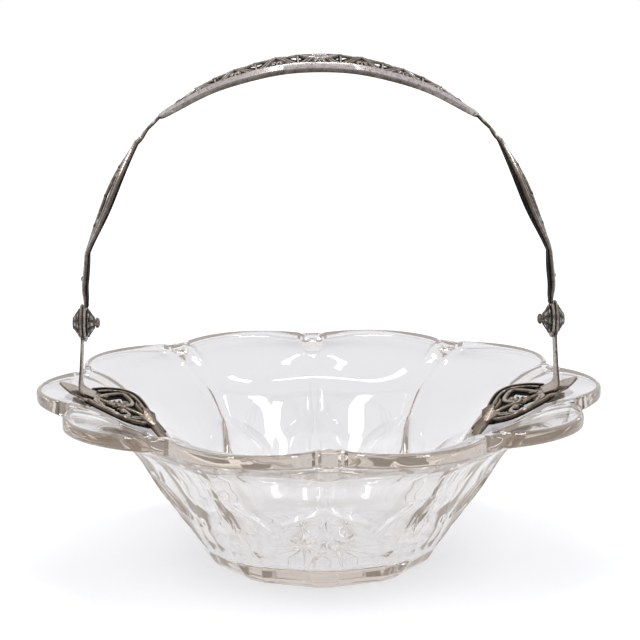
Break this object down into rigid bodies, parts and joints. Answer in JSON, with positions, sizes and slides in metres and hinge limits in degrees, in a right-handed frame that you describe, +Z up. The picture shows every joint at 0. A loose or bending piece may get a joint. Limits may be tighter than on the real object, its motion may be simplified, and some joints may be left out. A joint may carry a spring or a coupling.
{
  "type": "jardiniere",
  "caption": "Shallow lobed cut-crystal bowl with a star-cut foot, openwork silver mounts inside two lobes and a swinging openwork handle.",
  "frame": {"origin": "middle of the flat foot, on the surface it stands on", "axes": "+Z up, X from the left mount to the right mount, -Y towards the viewer of the picture"},
  "size_m": [0.24, 0.2324, 0.2146],
  "materials": {
    "crystal": "clear polished cut crystal",
    "silver": "aged cast silver, dark in its recesses",
    "dark_silver": "tarnished silver",
    "brass": "dull turned brass",
    "leather": "plain hide"
  },
  "bodies": {
    "basket": {"glass_bowl": "crystal", "left_medallion": "silver", "left_strap": "silver", "left_stud": "brass", "left_leather_washer": "leather", "left_metal_washer": "brass", "left_nut": "brass", "left_outer_rosette": "dark_silver", "left_inner_rosette": "dark_silver", "left_pivot_pin": "silver", "left_pivot_knob": "silver", "right_medallion": "silver", "right_strap": "silver", "right_stud": "brass", "right_leather_washer": "leather", "right_metal_washer": "brass", "right_nut": "brass", "right_outer_rosette": "dark_silver", "right_inner_rosette": "dark_silver", "right_pivot_pin": "silver", "right_pivot_knob": "silver"},
    "handle": {"handle_center_span": "silver", "left_handle_arm": "silver", "right_handle_arm": "silver"}
  },
  "joints": [
    {"name": "handle_swing", "type": "hinge", "parent": "basket", "child": "handle", "pos_m": [0, 0, 0.1023], "axis": [1, 0, 0], "range_deg": [-95, 95]}
  ]
}
